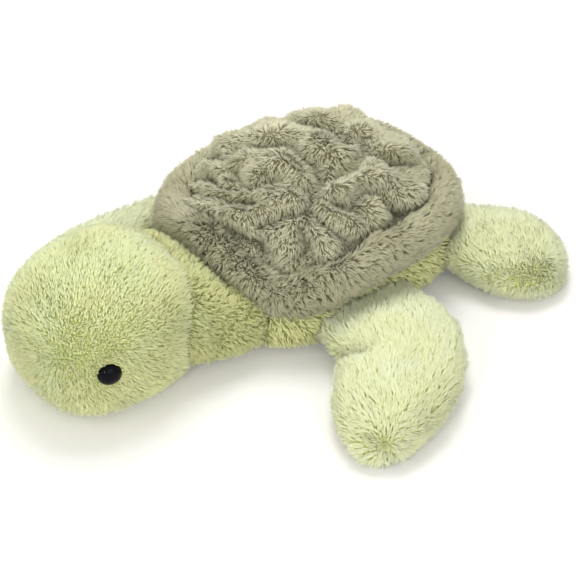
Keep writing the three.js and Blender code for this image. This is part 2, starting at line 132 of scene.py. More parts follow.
# The quilting in millimetres: depth and half width of what the thread presses in, where the
# photograph shows it and on the far side, which also sinks, then the crease beside the rim, how far
# the puffs hang over it and swell, and the depth and size of their ripples
STITCH = (4.5, 3.6)
VALLEY_DEPTH = 5.5
VALLEY_HALF_WIDTH = 9
PINCH = (4, 5)
LIP = (2, 4)
FAR_STITCH = (4, 4.5)
FAR_VALLEY = (3.5, 9)
FAR_SINK = 1.5
RIM_CREASE = 2.5
OVERHANG = 2
SWELL = 0.6
RIPPLE = (0.8, 11)

# Where the thread draws in the two near flippers of the photograph, with the depth and half width
# in millimetres, and where the pile of each fans out
SEAMS = {
    "front_flipper_left": [
        ([[(330, 362), (341, 357), (352, 354), (364, 353)]], 3, 5),
        ([[(366, 438), (376, 442), (386, 449)], [(386, 449), (392, 458), (394, 466)]], 1.2, 3),
    ],
    "rear_flipper_left": [([[(490, 269), (508, 274), (528, 276), (546, 273)]], 0.8, 3.4)],
}
TIPS = {"front_flipper_left": (385, 448), "rear_flipper_left": (548, 260)}
FLIPPERS = ("front_flipper_left", "front_flipper_right", "rear_flipper_left", "rear_flipper_right")

# How the filling presses the covers out, how far a cover stays above it, and within how far of a
# neighbour a cover is drawn in the most
FILLING_PRESSURE = 4
SETTLING_FRAMES = 20
CLOTH = 1 * MM
TOUCHING = 0.6 * MM

# The tufts: how deep they are rooted, how far the tips and the rest stay off the floor, the gap to a
# neighbour that leaves no room for one, and the shortest that is kept
ROOT_DEPTH = 0.6 * MM
TIP_OFF_FLOOR = 0.4 * MM
OFF_FLOOR = 0.25 * MM
NO_ROOM = 1.2 * MM
LEAST_TUFT = 2 * MM

# The eyes in millimetres: the dome before it is flattened, its rise and its foot, the shank behind it
# with its share of the foot's width, and how far round its middle no pile is rooted
EYE_RADIUS = 7.2
EYE_RISE = 4.8
EYE_FOOT = 0.5
SHANK_LENGTH = 9
SHANK_SHARE = 0.28
EYE_BARE = 7

# Two points across the hinge of a part, in millimetres: a flipper's inside its sewn line and outside it,
# and the neck's that far in front of the toy's middle
FLIPPER_REACH = (2, 20)
NECK_REACH = (86, 108)
NECK_HEIGHT = 22

# The floor's colour, the world's light, each lamp's place from the toy's middle and its size, both in
# metres, and its power, and the rays by which the camera sees a surface
FLOOR_COLOUR = (243, 241, 237)
WORLD_LIGHT = 0.68
LAMPS = {
    "key": ((-0.45, 0.35, 1.35), 0.8, 12),
    "front": ((-0.5, -1.35, 0.5), 1.2, 3.5),
    "side": ((1.2, -0.4, 0.7), 1.2, 4.3),
    "glint": ((0.56, -1.14, 0.56), 0.12, 3.5),
}
SEEN_RAYS = ("Is Camera Ray", "Is Glossy Ray", "Is Transmission Ray")


# Camera
def make_camera():
    """The photograph's view: from the toy's left and front, looking down on it."""
    azimuth, elevation = math.radians(AZIMUTH), math.radians(ELEVATION)
    back = Vector((
        math.sin(azimuth) * math.cos(elevation),
        -math.cos(azimuth) * math.cos(elevation),
        math.sin(elevation),
    ))
    right = Vector((math.cos(azimuth), math.sin(azimuth), 0))
    up = back.cross(right)
    focus = MIDDLE + Vector((0, 0, FOCUS_HEIGHT))
    place = focus + back * DISTANCE
    aim = focus - right * AIM_LEFT * MM - up * AIM_DOWN * MM
    data = bpy.data.cameras.new("camera")
    data.lens = LENS
    data.sensor_width = SENSOR
    camera = bpy.data.objects.new("camera", data)
    bpy.context.scene.collection.objects.link(camera)
    camera.location = place
    camera.rotation_mode = "QUATERNION"
    camera.rotation_quaternion = (aim - place).to_track_quat("-Z", "Y")
    bpy.context.scene.camera = camera
    bpy.context.view_layer.update()
    return camera


def photo_ray(camera, x, y):
    """The way that the camera looks through a pixel of the photograph."""
    focal = PICTURE * camera.data.lens / camera.data.sensor_width
    looks = Vector(((x - PICTURE / 2) / focal, (PICTURE / 2 - y) / focal, -1))
    return (camera.rotation_quaternion @ looks).normalized()


# Selecting and modifiers
def only(piece):
    """Selects one object and nothing else, and makes it the active one."""
    for each in bpy.context.selected_objects:
        each.select_set(False)
    piece.select_set(True)
    bpy.context.view_layer.objects.active = piece


def finish_with(piece, kind, **settings):
    """Adds a modifier with its settings and applies it."""
    only(piece)
    modifier = piece.modifiers.new(kind, kind)
    for name, value in settings.items():
        setattr(modifier, name, value)
    bpy.ops.object.modifier_apply(modifier=modifier.name)


# Arrays of a mesh
def places_of(mesh):
    flat = np.empty(len(mesh.vertices) * 3)
    mesh.vertices.foreach_get("co", flat)
    return flat.reshape(-1, 3)


def normals_of(mesh):
    flat = np.empty(len(mesh.vertices) * 3)
    mesh.vertex_normals.foreach_get("vector", flat)
    return flat.reshape(-1, 3)


def edges_of(mesh):
    flat = np.empty(len(mesh.edges) * 2, np.int32)
    mesh.edges.foreach_get("vertices", flat)
    return flat.reshape(-1, 2)


def values_of(mesh, name):
    flat = np.zeros(len(mesh.vertices), np.float32)
    mesh.attributes[name].data.foreach_get("value", flat)
    return flat.astype(float)


def set_places(mesh, places):
    mesh.vertices.foreach_set("co", places.astype(np.float32).ravel())
    mesh.update()


def set_values(mesh, name, values):
    attribute = mesh.attributes.get(name) or mesh.attributes.new(name, "FLOAT", "POINT")
    attribute.data.foreach_set("value", values.astype(np.float32))


def unit(vectors):
    return vectors / np.maximum(np.linalg.norm(vectors, axis=1, keepdims=True), 1e-12)


def between(low, high, values):
    """0 below low, 1 above high, and a smooth step from one to the other."""
    share = np.clip((values - low) / (high - low), 0, 1)
    return share * share * (3 - 2 * share)


def wander(places, size, seed):
    """A smooth value between about -1 and 1 that changes over patches of that size: a sum of waves."""
    count = 7
    rng = np.random.default_rng(seed)
    waves = unit(rng.normal(size=(count, 3))) * rng.uniform(0.7, 1.4, (count, 1)) * math.pi / size
    return np.sin(places @ waves.T + rng.uniform(0, 2 * math.pi, count)).sum(1) / 3


def smoothed(mesh, values, rounds):
    """Values of the vertices, each evened out with its neighbours' that many times."""
    edges = edges_of(mesh)
    count = len(mesh.vertices)
    shares = np.bincount(edges.ravel(), minlength=count)
    for _ in range(rounds):
        total = np.zeros_like(values)
        for one, other in ((0, 1), (1, 0)):
            for axis in range(values.shape[1]):
                total[:, axis] += np.bincount(edges[:, one], values[edges[:, other], axis], count)
        values = 0.5 * values + 0.5 * total / np.maximum(shares, 1)[:, None]
    return values


# Padded pieces
def joined_copy(name, node_names):
    """A new object with a merged copy of these CAD nodes' meshes."""
    form = bmesh.new()
    for node_name in node_names:
        form.from_mesh(nodes[node_name].data)
    bmesh.ops.remove_doubles(form, verts=form.verts, dist=0.01 * MM)
    mesh = bpy.data.meshes.new(name)
    form.to_mesh(mesh)
    form.free()
    piece = bpy.data.objects.new(name, mesh)
    bpy.context.scene.collection.objects.link(piece)
    return piece


def keep_outside(piece):
    """Deletes all but the largest closed skin of a remeshed piece."""
    form = bmesh.new()
    form.from_mesh(piece.data)
    left = set(form.verts)
    skins = []
    while left:
        reached = [left.pop()]
        skin = []
        while reached:
            vertex = reached.pop()
            skin.append(vertex)
            for edge in vertex.link_edges:
                other = edge.other_vert(vertex)
                if other in left:
                    left.discard(other)
                    reached.append(other)
        skins.append(skin)
    skins.sort(key=len)
    for skin in skins[:-1]:
        bmesh.ops.delete(form, geom=skin, context="VERTS")
    form.to_mesh(piece.data)
    form.free()


def neighbours_of(own_name):
    """The other CAD covers as one tree, to find what a piece touches."""
    corners, faces = [], []
    for name, node in nodes.items():
        if name == own_name or not name.endswith("_cover"):
            continue
        start = len(corners)
        corners += [vertex.co.copy() for vertex in node.data.vertices]
        faces += [[start + i for i in face.vertices] for face in node.data.polygons]
    return BVHTree.FromPolygons(corners, faces)


def distance_to(tree, places, most):
    found = (tree.find_nearest(Vector(place), most)[3] for place in places)
    return np.array([most if distance is None else distance for distance in found])


def plump(piece, tree, most):
    """Presses a cover out between its seams as its filling does, at most that far.

    It stays where it is beside a neighbour and on the floor."""
    rest = places_of(piece.data)
    outward = normals_of(piece.data)
    beside = 1 - between(2 * MM, 6 * MM, distance_to(tree, rest, 8 * MM))
    on_floor = 1 - between(0.5 * MM, 3 * MM, rest[:, 2])
    still = np.maximum(beside, on_floor)
    group = piece.vertex_groups.new(name="held")
    for index, weight in enumerate(still):
        group.add([index], float(weight), "REPLACE")
    set_places(piece.data, rest - outward * (1 - still)[:, None] * most / 2)
    modifier = piece.modifiers.new("Cloth", "CLOTH")
    cloth = modifier.settings
    cloth.use_pressure = True
    cloth.uniform_pressure_force = FILLING_PRESSURE
    cloth.quality = 6
    cloth.vertex_group_mass = group.name
    cloth.effector_weights.gravity = 0
    modifier.collision_settings.use_collision = False
    only(piece)
    for number in range(1, SETTLING_FRAMES + 1):
        bpy.context.scene.frame_set(number)
    bpy.ops.object.modifier_apply(modifier=modifier.name)
    bpy.context.scene.frame_set(1)
    moved = places_of(piece.data) - rest
    length = np.linalg.norm(moved, axis=1, keepdims=True)
    moved *= np.minimum(1, most / np.maximum(length, 1e-9)) * (1 - still)[:, None]
    set_places(piece.data, rest + moved)
    piece.vertex_groups.clear()


def filling_node(part):
    """The CAD's node under a cover: wadding in the shell and its rim, loose fibre in the rest."""
    return part + ("_wadding" if part in ("shell", "rim") else "_stuffing")


def make_cover(part, voxel=2.4, even=4, most=1.5):
    """A stuffed cover, closed over its filling, and the tree of the covers beside it.

    It is remeshed at voxel, evened out that many times and pressed out by most, in millimetres."""
    piece = joined_copy(part + "_fabric", [part + "_cover", filling_node(part)])
    finish_with(piece, "REMESH", mode="VOXEL", voxel_size=voxel * MM, use_smooth_shade=True)
    keep_outside(piece)
    finish_with(piece, "SMOOTH", factor=0.5, iterations=even)
    tree = neighbours_of(part + "_cover")
    if most:
        plump(piece, tree, most * MM)
    finish_with(piece, "SUBSURF", levels=1, render_levels=1)
    return piece, tree


# Quilting, folds and seams
def fold_share(places, half_width):
    """1 in the stitched folds between the scutes and 0 on the puffs."""
    across = (places[:, 0] - SHELL_MIDDLE.x)[:, None]
    along = (places[:, 1] - SHELL_MIDDLE.y)[:, None]
    middles = np.array([
        (SHELL_HALF_WIDTH * out, (SHELL_FRONT if back < 0 else SHELL_BACK) * back) for out, back in SCUTES
    ])
    reach = np.sort(np.hypot(across - middles[:, 0], along - middles[:, 1]), axis=1)
    return np.exp(-(((reach[:, 1] - reach[:, 0]) / (2 * half_width)) ** 2))


def tree_of(piece):
    return BVHTree.FromObject(piece, bpy.context.evaluated_depsgraph_get())


def seen_at(camera, tree, pixel):
    """Where the ray through a pixel of the photograph meets a cover."""
    return tree.ray_cast(camera.location, photo_ray(camera, *pixel))[0]


def stitched(camera, tree, lines):
    """Points along lines of the photograph on a cover, a step of a pixel apart."""
    points = []
    for pixels in lines:
        for (x0, y0), (x1, y1) in zip(pixels, pixels[1:]):
            steps = math.ceil(math.hypot(x1 - x0, y1 - y0))
            for step in range(steps + 1):
                share = step / steps
                points.append(seen_at(camera, tree, (x0 + (x1 - x0) * share, y0 + (y1 - y0) * share)))
    return [point for point in points if point is not None]


def offset_from(points, places):
    """The way to each place from the nearest of the points."""
    found = KDTree(len(points))
    for index, point in enumerate(points):
        found.insert(point, index)
    found.balance()
    return places - np.array([found.find(place)[0] for place in places])


def distance_from(points, places):
    return np.linalg.norm(offset_from(points, places), axis=1)


def hump(distance, half_width):
    return np.exp(-((distance / half_width) ** 2))


def over_rim(places):
    """1 at the front and on the far side, where the puffs hang over the rim, and 0 on the near side."""
    far = between(-10 * MM, 35 * MM, SHELL_MIDDLE.x - places[:, 0])
    front = between(15 * MM, 50 * MM, SHELL_MIDDLE.y - places[:, 1])
    return np.maximum(far, front)


def pressed(distance, depth, half_width):
    """How deep the thread presses at a distance from it; depth and half width are in millimetres."""
    return depth * MM * hump(distance, half_width * MM)


def quilt(piece, camera, crease):
    """Presses the folds, the pinches and the crease beside the rim into the shell.

    It follows the photograph's folds where they show and the scutes' edges behind, and swells the
    puffs between."""
    mesh = piece.data
    tree = tree_of(piece)
    places = places_of(mesh)
    outward = normals_of(mesh)
    offset = offset_from(stitched(camera, tree, FOLDS), places)
    sewn = np.linalg.norm(offset, axis=1)
    pit = distance_from([seen_at(camera, tree, pixel) for pixel in PINCHES], places)
    down = np.array(camera.rotation_quaternion @ Vector((0, -1, 0)))
    below = (offset @ down) / np.maximum(sewn, 2 * MM)
    shown = 1 - between(30 * MM, 45 * MM, sewn)
    behind = (1 - shown) * fold_share(places, FAR_STITCH[1] * MM)
    sunk = FAR_SINK + FAR_VALLEY[0] * fold_share(places, FAR_VALLEY[1] * MM)
    dome = between(0.05, 0.4, outward[:, 2])
    over = over_rim(places)
    valley = pressed(sewn, VALLEY_DEPTH, VALLEY_HALF_WIDTH + 4.5 * below)
    lip = pressed(sewn - VALLEY_HALF_WIDTH * MM, *LIP) * np.maximum(-below, 0)
    press = pressed(sewn, *STITCH) + valley + pressed(pit, *PINCH) - lip
    press = press + FAR_STITCH[0] * MM * behind + (1 - shown) * sunk * MM
    press = press + RIM_CREASE * MM * crease * (1 - over) - OVERHANG * MM * over
    press = press + RIPPLE[0] * MM * wander(places, RIPPLE[1] * MM, 5) - SWELL * MM
    set_places(mesh, places - outward * (press * dome)[:, None])
    # The fold value sets painted shade in the pile of the stitched folds, the pinches and the crease beside
    # the rim, and shortens its tufts
    stitches = np.maximum(hump(sewn, 3.2 * MM), 0.4 * hump(sewn, 8 * MM))
    deep = [stitches, behind, hump(pit, 4 * MM), crease * (1 - 0.6 * over)]
    set_values(mesh, "fold", np.maximum.reduce(deep) * dome)
    set_slope(mesh, press * dome)


def set_slope(mesh, press):
    """Keeps the way down into the folds, for the pile to lie along."""
    places, edges = places_of(mesh), edges_of(mesh)
    press = smoothed(mesh, press[:, None], rounds=6)[:, 0]
    step = places[edges[:, 1]] - places[edges[:, 0]]
    rise = (press[edges[:, 1]] - press[edges[:, 0]]) / np.maximum((step**2).sum(1), 1e-12)
    down = np.zeros_like(places)
    for end in (0, 1):
        for axis in range(3):
            down[:, axis] += np.bincount(edges[:, end], step[:, axis] * rise, len(places))
    down = smoothed(mesh, down, rounds=4)
    down /= max(np.percentile(np.linalg.norm(down, axis=1), 90), 1e-9)
    for axis in range(3):
        set_values(mesh, "down_%d" % axis, down[:, axis])


def crease_beside(piece, tree, reach):
    """1 where a cover meets its neighbour and 0 from that reach on, in millimetres."""
    return 1 - between(TOUCHING, reach * MM, distance_to(tree, places_of(piece.data), reach * MM))


def draw_in(piece, share, depth):
    """Draws a cover in where the share is 1, as its thread does; the deeper the fold, the more painted shade
    its pile gets.
    """
    mesh = piece.data
    set_places(mesh, places_of(mesh) - normals_of(mesh) * (depth * MM * share)[:, None])
    kept = values_of(mesh, "fold") if "fold" in mesh.attributes else 0
    set_values(mesh, "fold", np.maximum(kept, share * min(1, depth / 2)))


def keep_over(piece, part):
    """Keeps the upper side of a cover above its filling."""
    mesh, filling = piece.data, nodes[filling_node(part)].data
    faces = [list(face.vertices) for face in filling.polygons]
    tree = BVHTree.FromPolygons([vertex.co.copy() for vertex in filling.vertices], faces)
    places, outward = places_of(mesh), normals_of(mesh)
    for index in np.nonzero(outward[:, 2] > -0.1)[0]:
        foot, normal = tree.find_nearest(Vector(places[index]))[:2]
        if (Vector(places[index]) - foot).dot(normal) < CLOTH:
            places[index] = foot + normal * CLOTH
    set_places(mesh, places)


def groove(piece, tree, depth, reach):
    """Pulls a cover in along the seam with its neighbour, with painted shade in its pile there."""
    crease = crease_beside(piece, tree, reach) * between(-0.5, 0.3, normals_of(piece.data)[:, 2])
    draw_in(piece, crease * (1 - 0.7 * over_rim(places_of(piece.data))), depth)


def sew(piece, camera, lines, depth, half_width):
    """Draws a cover in along lines of the photograph, with painted shade in its pile there."""
    points = stitched(camera, tree_of(piece), lines)
    draw_in(piece, hump(distance_from(points, places_of(piece.data)), half_width * MM), depth)


# Pile: one tuft is modelled and copied over the fabric
def model_tuft():
    """A closed three-sided spindle of length and half width 1, widest below its middle."""
    widest = 0.41
    bpy.ops.mesh.primitive_cone_add(vertices=3, radius1=1, radius2=0, depth=0.6, location=(0, 0, 0.7))
    tuft = bpy.context.object
    bpy.ops.object.transform_apply(location=True)
    bpy.ops.object.mode_set(mode="EDIT")
    bpy.ops.mesh.select_all(action="SELECT")
    bpy.ops.mesh.bisect(plane_co=(0, 0, widest), plane_no=(0, 0, 1), clear_inner=True)
    bpy.ops.mesh.extrude_region_move(TRANSFORM_OT_translate={"value": (0, 0, -widest)})
    bpy.ops.mesh.merge(type="COLLAPSE")
    bpy.ops.object.mode_set(mode="OBJECT")
    finish_with(tuft, "TRIANGULATE")
    return tuft


def tuft_arrays(tuft):
    """A tuft's vertices, the corners of its faces, and a flat layout of them for the baked finish."""
    mesh = tuft.data
    corners = np.array([list(face.vertices) for face in mesh.polygons])
    places = places_of(mesh)
    layout = []
    for face in corners:
        middle = places[face].mean(0)
        turn = math.atan2(middle[1], middle[0]) / (2 * math.pi) % 1
        for x, y, z in places[face]:
            angle = math.atan2(y, x) / (2 * math.pi)
            wide = turn if math.hypot(x, y) < 0.01 else turn + (angle - turn + 0.5) % 1 - 0.5
            layout.append((0.5 + 0.5 * (wide - 0.5), 0.1 + 0.8 * z))
    return places, corners, np.array(layout)


def thinned(places, gap):
    """One place for each cell of that size."""
    cells = np.floor(places / gap).astype(np.int64)
    return np.unique(cells, axis=0, return_index=True)[1]


def roots_on(cover, gap, rng):
    """Places spread evenly over a cover, with the normal, the fold and the way down of each."""
    mesh = cover.data
    mesh.calc_loop_triangles()
    corners = np.empty(len(mesh.loop_triangles) * 3, np.int32)
    mesh.loop_triangles.foreach_get("vertices", corners)
    corners = corners.reshape(-1, 3)
    places, outward = places_of(mesh), normals_of(mesh)
    named = ("fold", "down_0", "down_1", "down_2")
    kept_values = np.column_stack([
        values_of(mesh, name) if name in mesh.attributes else np.zeros(len(places)) for name in named
    ])
    one, two, three = (places[corners[:, i]] for i in range(3))
    area = np.linalg.norm(np.cross(two - one, three - one), axis=1) / 2
    picked = rng.choice(len(area), int(area.sum() / gap**2 * 3), p=area / area.sum())
    outer, around = np.sqrt(rng.random(len(picked))), rng.random(len(picked))
    shares = np.column_stack([1 - outer, outer * (1 - around), outer * around])
    chosen = corners[picked]
    points = np.einsum("ij,ijk->ik", shares, places[chosen])
    kept = thinned(points, gap)
    normal = unit(np.einsum("ij,ijk->ik", shares, outward[chosen]))
    value = np.einsum("ij,ijk->ik", shares, kept_values[chosen])
    return points[kept], normal[kept], np.clip(value[kept, 0], 0, 1), value[kept, 1:]


def locks_of(places, size, seed):
    """The lock of fibres that each root belongs to."""
    shift = np.column_stack([wander(places, 1.7 * size, seed + i) for i in range(3)])
    cells = np.floor((places + 0.45 * size * shift) / size).astype(np.int64)
    return np.unique(cells, axis=0, return_inverse=True)[1].ravel()


def mean_over(group, values):
    count = np.bincount(group)
    return np.column_stack([np.bincount(group, values[:, i]) / count for i in range(3)])


def clear_of(tree, roots, ways, lengths):
    """Pushes the tufts that would meet a neighbouring piece out of the crease, or ends them before it.

    Where the neighbour covers a root, its length is 0."""
    clear, free = ways.copy(), lengths.copy()
    for index, (root, way, length) in enumerate(zip(roots, ways, lengths)):
        start = Vector(root)
        nearest, _, _, gap = tree.find_nearest(start, length)
        if nearest is None:
            continue
        if gap < NO_ROOM:
            free[index] = 0
            continue
        way = Vector(way)
        if tree.ray_cast(start, way, length)[3] is not None:
            way = (way + (start - nearest) / gap).normalized()
            clear[index] = way
        distance = tree.ray_cast(start, way, length)[3]
        if distance is not None:
            free[index] = 0.8 * distance
    return clear, free


def strayed(rng, group, by_lock, by_tuft):
    """A random value for each tuft, a part of which its whole lock shares."""
    shared = by_lock * rng.normal(size=group.max() + 1)[group]
    return shared + by_tuft * rng.normal(size=len(group))


def combed(fur, roots, normal, way, group, rng):
    """The way in which each tuft points: leant over from the normal towards way, with its swirl."""
    patches = wander(roots, 22 * MM, fur.seed + 5)
    stray = strayed(rng, group, by_lock=0.8, by_tuft=0.35)
    turn = np.radians(fur.swirl) * (patches + stray)[:, None]
    lean = fur.lean(roots) if callable(fur.lean) else fur.lean
    tilt = np.radians(lean + strayed(rng, group, by_lock=6, by_tuft=6))[:, None]
    way = way - (way * normal).sum(1, keepdims=True) * normal
    way = unit(way + 1e-6)
    way = way * np.cos(turn) + np.cross(normal, way) * np.sin(turn)
    return normal * np.cos(tilt) + way * np.sin(tilt)


def make_pile(part, cover, tree, tuft, flow, bare=None, comb=None):
    """Fibres standing on a cover: flow gives the way they lean, and locks draw their tips together."""
    fur = FURS[part]
    rng = np.random.default_rng(fur.seed)
    roots, normal, fold, down = roots_on(cover, fur.gap * MM, rng)
    if bare is not None:
        kept = ~bare(roots)
        roots, normal, fold, down = (values[kept] for values in (roots, normal, fold, down))
    group = locks_of(roots, fur.lock * MM, fur.seed)
    ways = combed(fur, roots, normal, flow(roots) + 0.25 * down, group, rng)
    full = fur.length * MM
    lengths = full * (1 + strayed(rng, group, by_lock=0.08, by_tuft=0.1))
    lengths = np.clip(lengths, 0.5 * full, 1.35 * full) * (1 - 0.45 * fold)
    if comb is not None:
        ways, lengths = comb(roots, ways, lengths)
    ways, lengths = clear_of(tree, roots, ways, lengths)
    kept = lengths > LEAST_TUFT
    roots, normal, fold, group, ways, lengths = (
        values[kept] for values in (roots, normal, fold, group, ways, lengths)
    )
    group = np.unique(group, return_inverse=True)[1]
    tips = roots + ways * lengths[:, None]
    drawn = mean_over(group, tips)[group]
    tips += fur.pull * (drawn - tips) * between(0, 0.5, rng.random(len(tips)))[:, None]
    tips[:, 2] = np.maximum(tips[:, 2], TIP_OFF_FLOOR)
    return build_pile(part + "_pile", tuft, roots, normal, tips, lengths, fur.width * MM, fold, rng)


def bent_tufts(shape, roots, normal, tips, lengths, width, rng):
    """The vertices of a tuft on each root, bent from the normal over to its tip, and their normals."""
    rise = shape[:, 2][None, :, None]
    foot = roots - ROOT_DEPTH * normal
    bend = foot + normal * (0.5 * lengths)[:, None]
    centre = foot[:, None] * (1 - rise) ** 2 + 2 * rise * (1 - rise) * bend[:, None] + rise**2 * tips[:, None]
    along = unit(tips - foot)
    side = unit(np.cross(along, unit(rng.normal(size=roots.shape))))
    other = np.cross(along, side)
    half = width * (0.75 + 0.5 * rng.random(len(roots)))[:, None, None]
    radial = shape[None, :, :1] * side[:, None] + shape[None, :, 1:2] * other[:, None]
    places = centre + half * radial
    places[..., 2] = np.maximum(places[..., 2], OFF_FLOOR)
    soft = 0.8 * normal[:, None] + 0.28 * radial + 0.2 * rise * along[:, None]
    return places, soft / np.linalg.norm(soft, axis=2, keepdims=True)


def mesh_of(name, places, corners):
    """One mesh of all copies of the tuft."""
    count, vertices = places.shape[:2]
    mesh = bpy.data.meshes.new(name)
    mesh.vertices.add(count * vertices)
    mesh.loops.add(count * corners.size)
    mesh.polygons.add(count * len(corners))
    mesh.vertices.foreach_set("co", places.astype(np.float32).ravel())
    starts = np.arange(count)[:, None] * vertices
    mesh.loops.foreach_set("vertex_index", (starts + corners.ravel()[None]).astype(np.int32).ravel())
    mesh.polygons.foreach_set("loop_start", np.arange(0, count * corners.size, 3, dtype=np.int32))
    mesh.polygons.foreach_set("use_smooth", np.ones(count * len(corners), bool))
    mesh.update(calc_edges=True)
    return mesh


def lay_out(mesh, count, layout):
    """Gives each tuft a cell of its own in the map of the baked finish."""
    side = math.ceil(math.sqrt(count))
    cells = np.column_stack([np.arange(count) % side, np.arange(count) // side])
    layer = mesh.uv_layers.new(name="OFBake")
    layer.data.foreach_set("uv", ((cells[:, None] + layout[None]) / side).astype(np.float32).ravel())


def build_pile(name, tuft, roots, normal, tips, lengths, width, fold, rng):
    """A copy of the tuft on each root, with the values that its finish reads."""
    shape, corners, layout = tuft_arrays(tuft)
    places, soft = bent_tufts(shape, roots, normal, tips, lengths, width, rng)
    mesh = mesh_of(name, places, corners)
    count, vertices = places.shape[:2]
    set_values(mesh, "tip", np.tile(shape[:, 2], count))
    set_values(mesh, "tuft", np.repeat(rng.random(count), vertices))
    # Painted shade in folds, creases and grooves, which also shortened these tufts
    set_values(mesh, "fold", np.repeat(fold, vertices))
    # Painted light on the pile's underside, strongest where its root faces down
    set_values(mesh, "under", np.repeat(1 - between(-0.7, 0.4, normal[:, 2]), vertices))
    lay_out(mesh, count, layout)
    mesh.normals_split_custom_set_from_vertices(soft.reshape(-1, 3))
    piece = bpy.data.objects.new(name, mesh)
    bpy.context.scene.collection.objects.link(piece)
    return piece


# Finishes
def colour(red, green, blue):
    """A colour written as in an image, 0 to 255, as a shader's value."""
    def linear(value):
        share = value / 255
        return share / 12.92 if share <= 0.04045 else ((share + 0.055) / 1.055) ** 2.4
    return (linear(red), linear(green), linear(blue), 1)


class Varying:
    """What changes over a surface: sums and products of it are written as Python expressions."""

    def __init__(self, shading, socket):
        self.shading = shading
        self.socket = socket

    def math(self, operation, first, second):
        return self.shading.node("ShaderNodeMath", {"operation": operation}, {0: first, 1: second})

    def __add__(self, other):
        return self.math("ADD", self, other)

    def __sub__(self, other):
        return self.math("SUBTRACT", self, other)

    def __rsub__(self, other):
        return self.math("SUBTRACT", other, self)

    def __mul__(self, other):
        return self.math("MULTIPLY", self, other)

    __radd__ = __add__
    __rmul__ = __mul__


class Shading:
    """A node tree, to which nodes are added with their settings and what feeds them."""

    def __init__(self, tree):
        self.tree = tree

    def node(self, kind, settings=None, sockets=None, out=0):
        made = self.tree.nodes.new(kind)
        for name, value in (settings or {}).items():
            setattr(made, name, value)
        for key, value in (sockets or {}).items():
            self.feed(made.inputs[key], value)
        return Varying(self, made.outputs[out])

    def feed(self, socket, value):
        if isinstance(value, Varying):
            self.tree.links.new(value.socket, socket)
        else:
            socket.default_value = value

    def seen(self):
        """1 for the rays that show a surface to the camera, and 0 for those that light others."""
        rays = [self.node("ShaderNodeLightPath", out=kind) for kind in SEEN_RAYS]
        return rays[0] + rays[1] + rays[2]


class Finish(Shading):
    """A material and the nodes that make it."""

    def __init__(self, name, **fixed):
        self.material = bpy.data.materials.new(name)
        self.material.use_nodes = True
        super().__init__(self.material.node_tree)
        self.shader = self.tree.nodes["Principled BSDF"]
        self.give(**fixed)

    def give(self, **sockets):
        for name, value in sockets.items():
            self.feed(self.shader.inputs[name.replace("_", " ")], value)

    def place(self):
        return self.node("ShaderNodeTexCoord", out="Object")

    def attribute(self, name):
        return self.node("ShaderNodeAttribute", {"attribute_name": name}, out="Fac")

    def noise(self, scale, detail=2, roughness=0.5):
        sockets = {"Vector": self.place(), "Scale": scale, "Detail": detail, "Roughness": roughness}
        return self.node("ShaderNodeTexNoise", {}, sockets)

    def ramp(self, value, low, high):
        """0 where the value is at low, 1 where it is at high."""
        sockets = {"Value": value, "From Min": low, "From Max": high}
        return self.node("ShaderNodeMapRange", {"interpolation_type": "SMOOTHSTEP"}, sockets)

    def mix(self, share, first, second):
        return self.node("ShaderNodeMix", {"data_type": "RGBA"}, {0: share, 6: first, 7: second}, out=2)

    def scaled(self, tone, value):
        return self.node("ShaderNodeVectorMath", {"operation": "SCALE"}, {0: tone, "Scale": value})

    def bump(self, height, distance):
        return self.node("ShaderNodeBump", {}, {"Height": height, "Distance": distance}, out="Normal")


def plush_pile(name, root, tip, warm, underside_light=0.16, deep=0.3):
    """Pile: its tufts differ; painted shade darkens their roots and the folds, and painted light brightens
    the underside.
    """
    finish = Finish(name, Roughness=0.85, Specular_IOR_Level=0.2, Sheen_Weight=0.8, Sheen_Roughness=0.35)
    finish.give(Sheen_Tint=colour(*(100 + 0.6 * value for value in tip)))
    # Painted shade: the pile darkens from its tips down to its roots
    rise = finish.ramp(finish.attribute("tip"), 0.05, 0.8)
    plain = finish.mix(rise, colour(*root), colour(*tip))
    warmer = finish.mix(rise, colour(*root), colour(*warm))
    patches = finish.ramp(finish.noise(24, detail=3), 0.42, 0.62)
    tone = finish.mix(patches * 0.45, plain, warmer)
    bright = 0.92 + 0.12 * finish.attribute("tuft") + 0.08 * finish.noise(420, detail=1)
    # Painted shade darkens the pile in folds, and painted light brightens it underneath
    bright = bright - deep * finish.attribute("fold") + underside_light * finish.attribute("under")
    finish.give(Base_Color=finish.scaled(tone, bright))
    return finish.material


def plush_backing(name, root):
    """The knitted backing at the foot of the pile."""
    finish = Finish(name, Roughness=0.95, Specular_IOR_Level=0.15)
    fine = finish.noise(900, detail=3, roughness=0.7)
    tone = finish.scaled(colour(*root)[:3], 0.75 + 0.5 * finish.noise(60))
    finish.give(Base_Color=tone, Normal=finish.bump(fine, 0.8 * MM))
    return finish.material


def fibre_filling(name):
    """White fibre, a little uneven."""
    finish = Finish(name, Roughness=0.9)
    uneven = finish.noise(180, detail=4, roughness=0.7)
    tone = finish.mix(uneven, colour(236, 233, 222), colour(248, 247, 240))
    finish.give(Base_Color=tone, Normal=finish.bump(finish.noise(500, detail=3, roughness=0.7), 1.5 * MM))
    return finish.material


def eye_plastic(name):
    """Glossy black plastic."""
    finish = Finish(name, Roughness=0.09, Specular_IOR_Level=0.1)
    tone = finish.mix(finish.noise(90), colour(2, 3, 6), colour(7, 8, 12))
    finish.give(Base_Color=tone, Roughness=0.07 + 0.06 * finish.noise(240))
    return finish.material


def washer_plastic(name):
    """Dull white plastic."""
    finish = Finish(name, Roughness=0.45)
    tone = finish.mix(finish.noise(70), colour(226, 226, 220), colour(236, 236, 232))
    finish.give(Base_Color=tone, Normal=finish.bump(finish.noise(700), 0.1 * MM))
    return finish.material


def coat(piece, material):
    piece.data.materials.clear()
    piece.data.materials.append(material)


